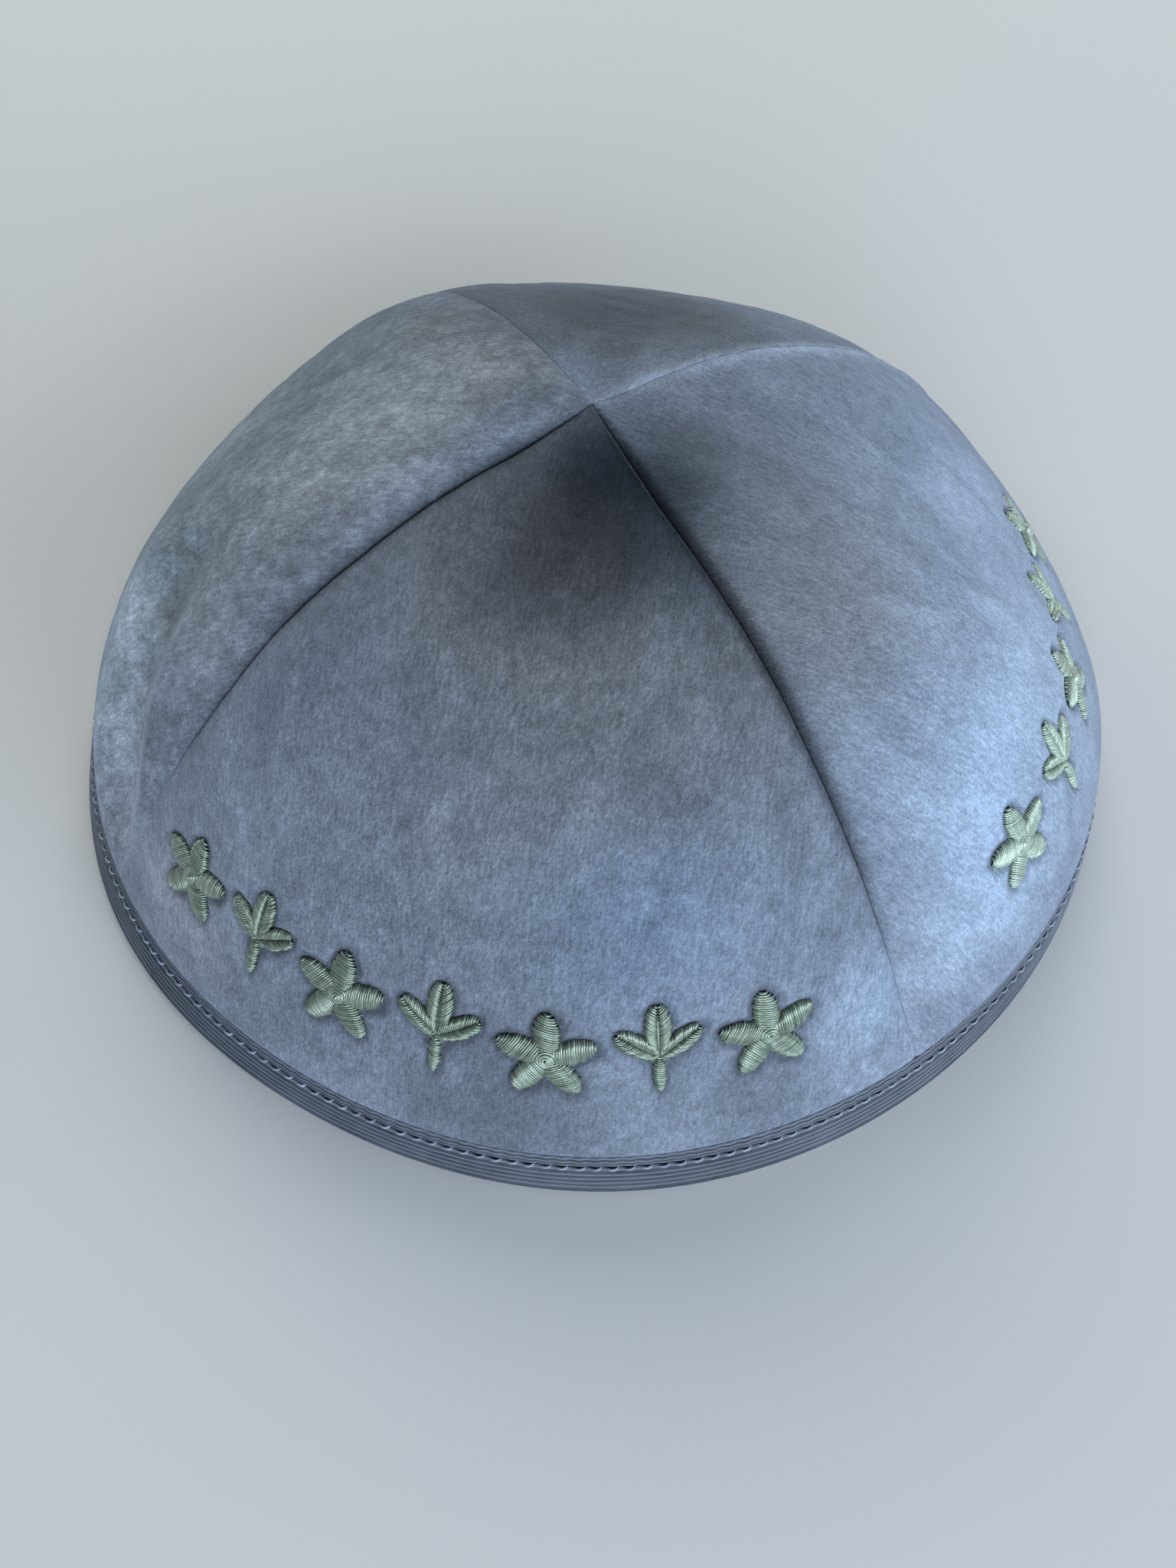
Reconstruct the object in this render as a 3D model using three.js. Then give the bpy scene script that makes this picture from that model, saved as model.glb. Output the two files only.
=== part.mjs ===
// A skullcap of four velvet gores, lying open side down: a shallow dome with a folded ribbon around
// its lower edge and a row of raised satin-stitch motifs above the ribbon.
// Millimetres, +Z up. The origin is the middle of the ring that the cap rests on, and -Y is the front.
//
// A place on the cloth is given by an azimuth (degrees, 0 at +X, 90 at +Y) and a height up the cloth
// (mm along the surface from the resting edge), and a depth is measured inwards from the outermost face.
import * as THREE from "three";

// Overall form
const APEX = { y: -1.5, z: 60 };
const BOX_MIDDLE = { x: 0.3, y: -0.1 };
const SECTION_STEP = 30;

// One row for each section, every 30 degrees from azimuth 0: the slope where it leaves the apex and the
// angle at which it meets the ground (degrees), how far each of the two reaches, and the foot radius (mm).
const SECTIONS = [
  { apexSlope: 12, apexReach: 32, wallAngle: 86, wallReach: 22, footRadius: 81.0 },
  { apexSlope: 0, apexReach: 58, wallAngle: 70, wallReach: 17, footRadius: 81.5 },
  { apexSlope: 10, apexReach: 42, wallAngle: 71, wallReach: 30, footRadius: 82.5 },
  { apexSlope: 18, apexReach: 28, wallAngle: 74, wallReach: 37, footRadius: 82.0 },
  { apexSlope: 0, apexReach: 50, wallAngle: 70, wallReach: 30, footRadius: 81.0 },
  { apexSlope: 0, apexReach: 40, wallAngle: 64, wallReach: 25, footRadius: 82.0 },
  { apexSlope: 8, apexReach: 34, wallAngle: 77, wallReach: 46, footRadius: 79.5 },
  { apexSlope: 5, apexReach: 46, wallAngle: 55, wallReach: 57, footRadius: 83.5 },
  { apexSlope: 7, apexReach: 43, wallAngle: 69, wallReach: 40, footRadius: 80.5 },
  { apexSlope: 5, apexReach: 43, wallAngle: 70, wallReach: 40, footRadius: 82.5 },
  { apexSlope: 0, apexReach: 44, wallAngle: 63, wallReach: 43, footRadius: 82.0 },
  { apexSlope: 8, apexReach: 43, wallAngle: 78, wallReach: 46, footRadius: 81.5 },
];

// The gores' cloth, and the clearance that every two pieces keep
const CLOTH_THICKNESS = 1.4;
const GAP = 0.3;
const TIP_RADIUS = 0.8;
const GORE = { columns: 18, rows: 18, edgeEase: 0.4, lowerEdge: 1.4 };

// One row for each seam: its azimuth and how far it swings aside (degrees) on its way down to the foot,
// and how deep and wide (mm) the valley along it is.
const SEAMS = [
  { name: "right_back", azimuth: 36, swing: 0, depth: 0.4, width: 3.5 },
  { name: "left_back", azimuth: 118, swing: 0, depth: 0.5, width: 4 },
  { name: "left_front", azimuth: 213, swing: -3, depth: 0.8, width: 4 },
  { name: "right_front", azimuth: 301.5, swing: 1.5, depth: 1.2, width: 6 },
];
const SEAM_FADE = { fromFoot: 14, fromApex: 10 };
const SWING_BELOW = 55;
const GORES = [
  { name: "panel_back", from: 0, to: 1 },
  { name: "panel_left", from: 1, to: 2 },
  { name: "panel_front", from: 2, to: 3 },
  { name: "panel_right", from: 3, to: 0 },
];

// One row for each soft fold: its two ends (azimuth, height up the cloth), its rise out of the dome
// (negative is a hollow) and its half width across, in mm.
const FOLDS = [
  { name: "left_hollow", from: [192, 47], to: [207, 10], rise: -1.6, width: 7 },
  { name: "left_roll", from: [184, 42], to: [199, 12], rise: 1.0, width: 9 },
  { name: "left_crease", from: [198, 50], to: [210, 20], rise: 0.8, width: 5 },
  { name: "front_hollow", from: [277, 92], to: [277, 62], rise: -1.0, width: 14 },
  { name: "right_dip", from: [306, 48], to: [305, 12], rise: -0.8, width: 6 },
];
const FOLD_FADE = 9;

// The ribbon, folded over the lower edge: two legs joined by a floor
const RIBBON = { thickness: 1.0, height: 8, steps: 96, corner: 0.4 };
const SLOT_WIDTH = CLOTH_THICKNESS + 2 * GAP;
const CLOTH_INSET = RIBBON.thickness + GAP;
const INSET_FADE_TOP = 16;
const LEVEL_BELOW = 12;
const PLUMB_WITHIN = 16;

// Embroidery: one row for each lobe of a motif (degrees from the motif's right, mm), and where each row
// of motifs stands. Rosettes and sprigs take turns along a row.
const ROSETTE = [90, 162, 234, 306, 18].map((angle) => ({ angle, length: 6.2, width: 3.8 }));
const SPRIG = [
  { angle: 90, length: 7.4, width: 3.4 },
  { angle: 35, length: 6.2, width: 3.0 },
  { angle: 145, length: 6.2, width: 3.0 },
  { angle: 270, length: 5.6, width: 1.7 },
];
const MOTIF_ROWS = [
  { name: "motif_front", count: 7, first: 221.5, step: 11, height: 25 },
  { name: "motif_right", count: 5, first: 322, step: 12, height: 28 },
];
const MOTIF = { heart: 1.6, rise: 0.9, edge: 0.45, shoulder: 0.62, steps: 36 };

// Smallest step used to take a slope from the surface, in degrees and mm
const PROBE = 0.25;
const DEGREE = Math.PI / 180;

const PLUMB = new THREE.Vector3(0, 0, 1);

const smooth = THREE.MathUtils.smoothstep;

// A column of the section table, blended smoothly around the cap.
function sectionValue(column, azimuth) {
  const place = THREE.MathUtils.euclideanModulo(azimuth, 360) / SECTION_STEP;
  const row = Math.floor(place);
  const f = place - row;
  const weights = [(1 - f) ** 3, 3 * f ** 3 - 6 * f ** 2 + 4, -3 * f ** 3 + 3 * f ** 2 + 3 * f + 1, f ** 3];
  const value = (k) => SECTIONS[(row + k + SECTIONS.length - 1) % SECTIONS.length][column];
  return weights.reduce((sum, weight, k) => sum + (weight * value(k)) / 6, 0);
}

// The dome's section at an azimuth: a curve of distance from the apex against height, apex first.
const meridians = new Map();
function meridian(azimuth) {
  const key = THREE.MathUtils.euclideanModulo(azimuth, 360).toFixed(6);
  if (meridians.has(key)) return meridians.get(key);
  const angle = azimuth * DEGREE;
  const radius = sectionValue("footRadius", azimuth);
  const foot = new THREE.Vector2(radius * Math.cos(angle), radius * Math.sin(angle) - APEX.y);
  const reach = foot.length();
  const slope = sectionValue("apexSlope", azimuth) * DEGREE;
  const wall = sectionValue("wallAngle", azimuth) * DEGREE;
  const near = sectionValue("apexReach", azimuth);
  const far = sectionValue("wallReach", azimuth);
  const curve = new THREE.CubicBezierCurve(
    new THREE.Vector2(0, APEX.z),
    new THREE.Vector2(near * Math.cos(slope), APEX.z - near * Math.sin(slope)),
    new THREE.Vector2(reach - far * Math.cos(wall), far * Math.sin(wall)),
    new THREE.Vector2(reach, 0),
  );
  const made = { curve, length: curve.getLength(), direction: foot.clone().normalize() };
  meridians.set(key, made);
  return made;
}

// A point of the smooth dome, with no folds.
function domePoint(azimuth, height) {
  const { curve, length, direction } = meridian(azimuth);
  const at = curve.getPointAt(THREE.MathUtils.clamp(1 - height / length, 0, 1));
  return new THREE.Vector3(direction.x * at.x, APEX.y + direction.y * at.x, at.y);
}

// The way out of the cloth. It turns level near the foot, so that the resting edge stays in one plane,
// and plumb near the apex, so that the gores' tips stay side by side.
function outward(azimuth, height) {
  const low = Math.max(height - PROBE, 0);
  const up = domePoint(azimuth, low + 2 * PROBE).sub(domePoint(azimuth, low));
  const along = domePoint(azimuth + PROBE, height).sub(domePoint(azimuth - PROBE, height));
  const normal = along.cross(up).normalize();
  normal.z *= smooth(height, 0, LEVEL_BELOW);
  const tip = 1 - smooth(meridian(azimuth).length - height, 0, PLUMB_WITHIN);
  return normal.normalize().lerp(PLUMB, tip).normalize();
}

// Signed turn from one azimuth to another, between -180 and 180.
function turn(from, to) {
  return THREE.MathUtils.euclideanModulo(to - from + 180, 360) - 180;
}

// How far a fold or a seam lifts the cloth at a place, in mm.
function bell(distance, width) {
  return Math.exp(-((distance / width) ** 2));
}

function foldRise(azimuth, height, fold) {
  const [[azimuthA, heightA], [azimuthB, heightB]] = [fold.from, fold.to];
  const share = THREE.MathUtils.clamp((heightA - height) / (heightA - heightB), 0, 1);
  const middle = azimuthA + share * (azimuthB - azimuthA);
  const past = Math.max(height - heightA, heightB - height, 0);
  const distance = turn(middle, azimuth) * DEGREE * apexDistance(azimuth, height);
  return fold.rise * bell(distance, fold.width) * bell(past, FOLD_FADE);
}

function seamAzimuth(seam, height) {
  return seam.azimuth + seam.swing * (1 - smooth(height, 0, SWING_BELOW));
}

function seamDip(azimuth, height, seam) {
  const toApex = meridian(azimuth).length - height;
  const fade = smooth(height, 0, SEAM_FADE.fromFoot) * smooth(toApex, 0, SEAM_FADE.fromApex);
  const distance = turn(seamAzimuth(seam, height), azimuth) * DEGREE * apexDistance(azimuth, height);
  return -seam.depth * fade * bell(distance, seam.width);
}

function apexDistance(azimuth, height) {
  const point = domePoint(azimuth, height);
  return Math.hypot(point.x, point.y - APEX.y);
}

function relief(azimuth, height) {
  const folds = FOLDS.reduce((sum, fold) => sum + foldRise(azimuth, height, fold), 0);
  return SEAMS.reduce((sum, seam) => sum + seamDip(azimuth, height, seam), folds);
}

// A point of the ribbon, which keeps to the smooth dome.
function ribbonPoint(azimuth, height, depth) {
  return domePoint(azimuth, height).addScaledVector(outward(azimuth, height), -depth);
}

// A point of a gore: its face sinks behind the ribbon at the foot, and follows the folds above it.
function clothPoint(azimuth, height, depth) {
  const clear = smooth(height, RIBBON.height, INSET_FADE_TOP);
  const out = relief(azimuth, height) * clear - CLOTH_INSET * (1 - clear) - depth;
  return domePoint(azimuth, height).addScaledVector(outward(azimuth, height), out);
}

// Moves every vertex of a geometry to where place() puts it, about the middle of the resting ring.
function shaped(geometry, place) {
  const positions = geometry.attributes.position;
  const vertex = new THREE.Vector3();
  for (let i = 0; i < positions.count; i += 1) {
    const point = place(vertex.fromBufferAttribute(positions, i));
    positions.setXYZ(i, point.x - BOX_MIDDLE.x, point.y - BOX_MIDDLE.y, point.z);
  }
  geometry.computeVertexNormals();
  return geometry;
}

// The height up the cloth at which a section is a small distance from the apex.
function tipHeight(azimuth) {
  const slope = sectionValue("apexSlope", azimuth) * DEGREE;
  return meridian(azimuth).length - TIP_RADIUS / Math.cos(slope);
}

// A gore is a flat slab bent onto the dome: across it runs the azimuth from seam to seam, up it the
// height, and through it the depth. Its columns draw together towards the seams.
function goreGeometry(gore) {
  const [from, to] = [SEAMS[gore.from], SEAMS[gore.to]];
  const slab = new THREE.BoxGeometry(1, 1, 1, GORE.columns, GORE.rows, 1);
  return shaped(slab, ({ x, y, z }) => {
    const across = x + 0.5;
    const eased = across - (GORE.edgeEase * Math.sin(2 * Math.PI * across)) / (2 * Math.PI);
    const wholeSpan = THREE.MathUtils.euclideanModulo(to.azimuth - from.azimuth, 360);
    const top = tipHeight(from.azimuth + eased * wholeSpan);
    const height = GORE.lowerEdge + (y + 0.5) * (top - GORE.lowerEdge);
    const start = seamAzimuth(from, height);
    const span = THREE.MathUtils.euclideanModulo(seamAzimuth(to, height) - start, 360);
    const halfGap = GAP / 2 / DEGREE / apexDistance(start + eased * span, height);
    const azimuth = start + halfGap + eased * (span - 2 * halfGap);
    return clothPoint(azimuth, height, (0.5 - z) * CLOTH_THICKNESS);
  });
}

// The ribbon is a closed U turned around the cap. In its outline, x is the depth and y the height.
function ribbonGeometry() {
  const { thickness, height, corner } = RIBBON;
  const slotEnd = thickness + SLOT_WIDTH;
  const back = slotEnd + thickness;
  const outline = [
    [corner, 0],
    [0, 2 * corner],
    [0, height - 2 * corner],
    [corner, height],
    [thickness, height - corner],
    [thickness, thickness],
    [slotEnd, thickness],
    [slotEnd, height - corner],
    [back - corner, height],
    [back, height - 2 * corner],
    [back, 2 * corner],
    [back - corner, 0],
    [corner, 0],
  ];
  // The outline is turned at a radius from which its depth can be read back.
  const turningRadius = 2 * back;
  const points = outline.map(([depth, up]) => new THREE.Vector2(turningRadius - depth, up));
  return shaped(new THREE.LatheGeometry(points, RIBBON.steps), ({ x, y, z }) => {
    const azimuth = roundedAzimuth(Math.atan2(x, z));
    return ribbonPoint(azimuth, y, turningRadius - Math.hypot(x, z));
  });
}

// The same azimuth for the first and the last step of a turned shape.
function roundedAzimuth(angle) {
  return THREE.MathUtils.euclideanModulo(Number((angle / DEGREE).toFixed(4)), 360);
}

// How far a motif reaches in a direction: the longest of its lobes, each an ellipse from the heart.
function motifReach(lobes, direction) {
  const reaches = lobes.map(({ angle, length, width }) => {
    const off = (direction - angle) * DEGREE;
    const [halfLength, halfWidth] = [length / 2, width / 2];
    const bend = (Math.cos(off) / halfLength) ** 2 + (Math.sin(off) / halfWidth) ** 2;
    return (2 * Math.cos(off)) / halfLength / bend;
  });
  return Math.max(MOTIF.heart, ...reaches);
}

// A motif is a low turned pad, stretched to its outline and laid on the cloth with its top raised.
function motifGeometry(lobes, azimuth, height) {
  const pad = [
    [0, 0],
    [1, 0],
    [1, MOTIF.edge],
    [MOTIF.shoulder, MOTIF.rise],
    [0, MOTIF.rise],
  ].map(([out, up]) => new THREE.Vector2(out, up));
  const mmPerDegree = DEGREE * apexDistance(azimuth, height);
  return shaped(new THREE.LatheGeometry(pad, MOTIF.steps), ({ x, y, z }) => {
    const direction = roundedAzimuth(Math.atan2(x, z));
    const reach = Math.hypot(x, z) * motifReach(lobes, direction);
    const aside = (reach * Math.cos(direction * DEGREE)) / mmPerDegree;
    const up = height + reach * Math.sin(direction * DEGREE);
    return clothPoint(azimuth + aside, up, -GAP - y);
  });
}

function piece(name, geometry, material) {
  const mesh = new THREE.Mesh(geometry, material);
  mesh.name = name;
  return mesh;
}

const velvet = new THREE.MeshStandardMaterial({ color: 0x7a8597, roughness: 0.95, metalness: 0 });
const ribbon = new THREE.MeshStandardMaterial({ color: 0x6a7488, roughness: 0.7, metalness: 0 });
const thread = new THREE.MeshStandardMaterial({ color: 0x8fae94, roughness: 0.45, metalness: 0 });

const skullcap = new THREE.Group();
for (const gore of GORES) skullcap.add(piece(gore.name, goreGeometry(gore), velvet));
skullcap.add(piece("binding", ribbonGeometry(), ribbon));
for (const { name, count, first, step, height } of MOTIF_ROWS) {
  for (let i = 0; i < count; i += 1) {
    const lobes = i % 2 === 0 ? ROSETTE : SPRIG;
    skullcap.add(piece(`${name}_${i + 1}`, motifGeometry(lobes, first + i * step, height), thread));
  }
}

export default skullcap;
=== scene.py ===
# The finish of a velvet skullcap: four gores with rolled seams and mottled nap, a ribbed ribbon with
# its row of stitches, and satin-stitch flowers and sprigs. Everything is worked out in millimetres in
# the part's frame (+Z up, -Y the front) and turned into metres where a mesh is made.
import math

import bpy
import numpy as np
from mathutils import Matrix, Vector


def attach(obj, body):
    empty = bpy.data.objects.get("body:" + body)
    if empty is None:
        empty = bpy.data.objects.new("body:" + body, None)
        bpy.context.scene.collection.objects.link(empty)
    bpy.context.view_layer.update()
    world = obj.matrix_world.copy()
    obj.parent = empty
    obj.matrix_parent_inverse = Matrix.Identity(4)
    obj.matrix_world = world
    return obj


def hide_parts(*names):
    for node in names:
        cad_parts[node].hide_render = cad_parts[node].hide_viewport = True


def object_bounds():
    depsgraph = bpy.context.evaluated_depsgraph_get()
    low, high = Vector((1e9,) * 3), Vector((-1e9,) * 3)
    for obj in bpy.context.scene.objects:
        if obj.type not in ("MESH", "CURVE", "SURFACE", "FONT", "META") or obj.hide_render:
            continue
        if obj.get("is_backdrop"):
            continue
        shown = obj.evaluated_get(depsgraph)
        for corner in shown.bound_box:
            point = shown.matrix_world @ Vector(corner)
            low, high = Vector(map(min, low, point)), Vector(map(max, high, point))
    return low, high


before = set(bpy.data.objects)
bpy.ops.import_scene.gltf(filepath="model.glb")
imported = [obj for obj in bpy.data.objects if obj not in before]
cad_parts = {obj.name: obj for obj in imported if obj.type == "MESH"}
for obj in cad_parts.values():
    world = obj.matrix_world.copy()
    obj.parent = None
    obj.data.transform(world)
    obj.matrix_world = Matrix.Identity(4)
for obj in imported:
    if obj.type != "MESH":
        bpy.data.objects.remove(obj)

cad_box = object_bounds()
METRES = 0.001

# Overall form of the dome. It is worked out about the middle of its foot, and BOX_MIDDLE is the middle
# of the whole cap's box from there, which is the frame's origin.
APEX_Y, APEX_Z = -1.5, 60.0
BOX_MIDDLE = (0.3, -0.1)
SECTION_STEP = 30

# One row for each section, every 30 degrees from azimuth 0: the slope where it leaves the apex and the
# angle at which it meets the ground (degrees), how far each of the two reaches, and the foot radius (mm).
SECTION_COLUMNS = ("apex_slope", "apex_reach", "wall_angle", "wall_reach", "foot_radius")
SECTIONS = [
    (12, 32, 86, 22, 81.0),
    (0, 58, 70, 17, 81.5),
    (10, 42, 71, 30, 82.5),
    (18, 28, 74, 37, 82.0),
    (0, 50, 70, 30, 81.0),
    (0, 40, 64, 25, 82.0),
    (8, 34, 77, 46, 79.5),
    (5, 46, 55, 57, 83.5),
    (7, 43, 69, 40, 80.5),
    (5, 43, 70, 40, 82.5),
    (0, 44, 63, 43, 82.0),
    (8, 43, 78, 46, 81.5),
]

# The gores' cloth
CLOTH_THICKNESS = 1.4
LOWER_EDGE = 1.4
# The velvet runs down inside the ribbon: its face lies this far in there, and its inner face further
CLOTH_INSET = 0.7
INNER_INSET = 0.6
INSET_FADE = (7.6, 8.6)
# Heights up the cloth between which the folds set in, and a slight puff all around above the ribbon
FOLDS_START = (8, 19)
PUFF = dict(height=12, rise=0.3, width=2.8)
# The way out of the cloth turns level below this height, and plumb within this distance of the apex
LEVEL_BELOW = 12
PLUMB_WITHIN = 16

# One row for each seam: its azimuth and how far it swings aside (degrees) on its way down to the foot,
# how deep and wide (mm) the valley along it is, how far and how deep the sewn edges roll in, how high
# they stand up beside the seam, and the share of the roll that is left at the foot.
SEAM_COLUMNS = ("name", "azimuth", "swing", "depth", "width", "roll", "sink", "ridge", "left_at_foot")
SEAMS = [
    dict(zip(SEAM_COLUMNS, row))
    for row in (
        ("right_back", 36, 0, 0.3, 3.5, 0.5, 0.12, 0.6, 1.0),
        ("left_back", 118, 0, 0.25, 6, 0.5, 0.05, 0.0, 1.0),
        ("left_front", 213, -3, 0.6, 3, 1.1, 0.9, 0.0, 0.0),
        ("right_front", 301.5, 1.5, 0.8, 3.5, 1.2, 1.2, 0.0, 0.2),
    )
]
# The rolls and the valleys grow between these heights up the cloth and fade within these distances of
# the apex. The seams swing aside below the last height.
ROLL_FADE = (22, 50)
ROLL_AT_APEX = 0.35
ROLL_TIP = (0, 4)
RIDGE_WIDTH = 1.8
RIDGE_TIP = (4, 20)
VALLEY_FADE = (14, 10)
VALLEY_AT_FOOT = 0.3
VALLEY_GROWS = (20, 65)
SWING_BELOW = 55
# Painted shade in each seam, partly where the pile parts there, and a painted highlight on the ridge beside
# the right back one: how much lighter (stops) it is painted up at the apex and down at the foot, and how far
# (mm) to each side that reaches. A small share of it reaches three times as far.
SEAM_PAINTED_LIGHT_COLUMNS = ("name", "apex", "foot", "width")
SEAM_PAINTED_LIGHT = [
    dict(zip(SEAM_PAINTED_LIGHT_COLUMNS, row))
    for row in (
        ("right_back", 0.8, 0.3, 1.6),
        ("left_back", -0.35, -0.2, 3.0),
        ("left_front", -1.6, 0.2, 0.9),
        ("right_front", -2.3, 0.1, 1.1),
    )
]
SEAM_PAINTED_LIGHT_FADE = (15, 80)
SEAM_PAINTED_LIGHT_FAR = 0.08
SEAM_PAINTED_LIGHT_AT_APEX = 0.4
SEAM_PAINTED_LIGHT_TIP = (2, 9)
# Each gore with its solid, the seam it starts at, how strongly its nap is clumped, and how much greener
# the nap is away from the seams
GORES = [
    ("velvet_back", "panel_back", 0, 0.6, 0.0),
    ("velvet_left", "panel_left", 1, 1.2, 0.38),
    ("velvet_front", "panel_front", 2, 0.6, 0.0),
    ("velvet_right", "panel_right", 3, 0.3, 0.0),
]
GREENER_FADE = (6, 22)

# One row for each soft fold: its two ends (azimuth, height up the cloth), its rise out of the dome
# (negative is a hollow) and its half width across, in mm. The last eight are too slight for the solids.
FOLD_COLUMNS = ("top", "foot", "rise", "width")
FOLDS = [
    dict(zip(FOLD_COLUMNS, row))
    for row in (
        ((192, 47), (207, 10), -2.3, 7.5),
        ((184, 42), (199, 12), 1.3, 8.5),
        ((198, 50), (210, 20), 0.8, 5),
        ((277, 92), (277, 62), -1.0, 14),
        ((306, 48), (305, 12), -0.8, 6),
        ((200, 44), (210, 24), 0.3, 2.4),
        ((296, 88), (299, 60), -0.6, 5),
        ((238, 60), (246, 34), -0.35, 9),
        ((284, 50), (288, 30), 0.3, 8),
        ((330, 70), (340, 45), -0.3, 10),
        ((20, 70), (14, 40), -0.3, 9),
        ((150, 60), (155, 30), -0.4, 8),
        ((75, 70), (72, 40), -0.4, 10),
    )
]
FOLD_FADE = 9
# The velvet's unevenness, as waves that are long and waves that are short (mm)
UNEVENNESS = [
    dict(size=0.16, count=16, longest=34, shortest=16, seed=3),
    dict(size=0.05, count=16, longest=9, shortest=5, seed=4),
]

# The ribbon, folded over the lower edge: its height, the thickness of its two legs and the slot between
# them, the height of its fold, and the pitch and depth of its ribs
RIBBON = dict(height=8.0, front=0.6, slot=2.4, back=1.0, fold=1.5, rib=0.84, rib_depth=0.2, steps=1080)
# Its mean radius, the height of its rounded tops and the heights of its points inside the slot
RIBBON_RADIUS = 81
SHOULDER = 0.35
SLOT_LEVELS = (7.2, 4.0, 1.2)
# How its top edge puckers between the stitches, and how it sways up and down: in waves laid out in mm for
# each degree around and for each mm up, which fade out towards the fold
PUCKER = dict(depth=0.1, width=1.4)
SWAY = dict(size=0.06, count=10, longest=40, shortest=9, seed=8)
SWAY_STRETCH = (1.4, 0.5)
SWAY_FADE = (1, 5)
# Its row of stitches with how far they stray, the groove that they lie in and the hole where each one
# dives in
STITCH = dict(count=231, height=5.85, length=1.55, slant=0.12, radius=0.23, dives=0.5, seed=21)
STITCH_STRAYS = dict(azimuth=0.03, tilt=0.04, height=0.04)
GROOVE = dict(depth=0.25, width=0.55)
HOLE = dict(depth=0.3, width=0.42)

# Painted light and shade on each gore, partly for how its nap is brushed: one row for each patch, with its
# middle (azimuth, height up the cloth), its half width in mm, how much lighter it is painted (in stops) and
# how much bluer its painted light is (from -1 to 1)
PAINTED_LIGHT_PATCHES = {
    "velvet_front": [
        (292, 98, 6.5, -2.1, 0.7),
        (275, 95, 12.5, -1.35, -0.1),
        (266, 86, 13, -0.95, -0.3),
        (240, 80, 13, -0.35, -0.3),
        (284, 77, 7, 0.4, 0.0),
        (299, 70, 9, -0.3, -0.2),
        (296, 84, 8, -0.8, 0.3),
        (272, 62, 20, -0.35, -0.4),
        (276, 45, 14, 0.0, 0.5),
        (262, 13, 13, -0.5, 0.0),
        (286, 14, 8, -0.5, 0.0),
        (300, 22, 9, 0.45, 0.2),
        (222, 40, 12, 0.15, 0.0),
        (220, 18, 10, 0.45, -0.3),
    ],
    "velvet_right": [
        (322, 42, 18, 0.65, 0.2),
        (315, 24, 13, 0.65, 0.1),
        (340, 32, 15, 0.55, 0.0),
        (0, 46, 24, 0.8, 0.1),
        (330, 60, 7, 0.3, 0.0),
        (0, 24, 9, 0.4, 0.0),
        (316, 74, 14, 0.0, -0.4),
        (325, 97, 15, -0.6, -0.1),
        (304, 94, 6.5, -1.4, 0.3),
    ],
    "velvet_back": [
        (85, 72, 20, -2.1, -0.5),
        (80, 100, 12, 0.5, 0.2),
    ],
    "velvet_left": [
        (152, 86, 15, 0.85, -0.4),
        (188, 70, 12, 0.65, -0.3),
        (200, 97, 8, -0.3, 0.2),
        (189, 35, 8.5, 1.0, -0.2),
        (198, 22, 9, 0.95, -0.2),
        (160, 42, 9, 0.5, 0.0),
        (194, 43, 4, -0.6, -0.3),
        (204, 30, 4, -0.6, -0.3),
        (204, 50, 9, 0.4, -0.2),
        (208, 16, 7, 0.6, -0.2),
        (124, 84, 12, -0.7, -0.6),
    ],
}
NAP_BASE = 0.38
BLUE_BASE = 0.4

# Embroidery: one row for each lobe of a motif, with its direction (degrees from the motif's right), its
# length and width in mm and how its threads lie
LOBE_COLUMNS = ("angle", "length", "width", "laid")
ROSETTE = [dict(zip(LOBE_COLUMNS, (angle, 6.2, 3.8, "across"))) for angle in (90, 162, 234, 306, 18)]
SPRIG = [
    dict(zip(LOBE_COLUMNS, row))
    for row in (
        (270, 5.6, 1.7, "across"),
        (35, 6.2, 3.0, "veined"),
        (145, 6.2, 3.0, "veined"),
        (90, 7.4, 3.4, "veined"),
    )
]
# Where each row of motifs stands: the name of its solids, how many, the first one's azimuth, the step,
# the height up the cloth and the painted light on its threads, lighter on the right row and darker on the
# front row for how the light falls on them. Rosettes and sprigs take turns along a row.
MOTIF_ROWS = [
    ("motif_front", 7, 221.5, 11, 25, 0.1),
    ("motif_right", 5, 322, 12, 28, 0.8),
]
MOTIF_SEED = 100
HEART = 1.6
# A thread's radius and number of sides, how flat it is, how narrow its ends are and its points along
THREAD = dict(radius=0.18, sides=6, flat=0.8, tip=0.35, points=9)
# How a lobe's threads are laid: their pitch, the height of their crown, their slant (degrees), how narrow
# the lobe's ends are, the power of the threads' arch and how deep their ends are buried
LAID = dict(pitch=0.3, crown=0.75, slant=14, narrowest=0.02, arch=2.6, buried=-0.3)
# In a veined lobe they lean forward from a vein along its middle
VEINED = dict(slant=38, lean=0.6, crown=0.85, start=0.2, end=0.99)
# How far single threads stray: at their ends, in their height, in their radius and in their shade
STRAYS = dict(ends=(-0.12, 0.14), height=(-0.04, 0.04), radius=(0.92, 1.08), shade=(-0.2, 0.3))
# The pad under the threads: its share of the motif's reach, and its rings (share of that, lift in mm)
PAD_SHARE, PAD_STEP = 0.9, 6
PAD_RINGS = ((0.999, -0.25), (0.9, 0.12), (0.6, 0.3), (0.25, 0.35))
KNOT = dict(turns=3.2, spread=0.72, tightens=0.9, radius=0.26, lift=0.55, rise=0.5, paler=0.2, points=64)
# How the stitches pull the velvet down, how many stops of painted shade darken that dent, and the distance
# from the heart that this stays within
DENT = dict(depth=0.5, width=0.9, painted_shade=0.9, within=14)

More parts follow.
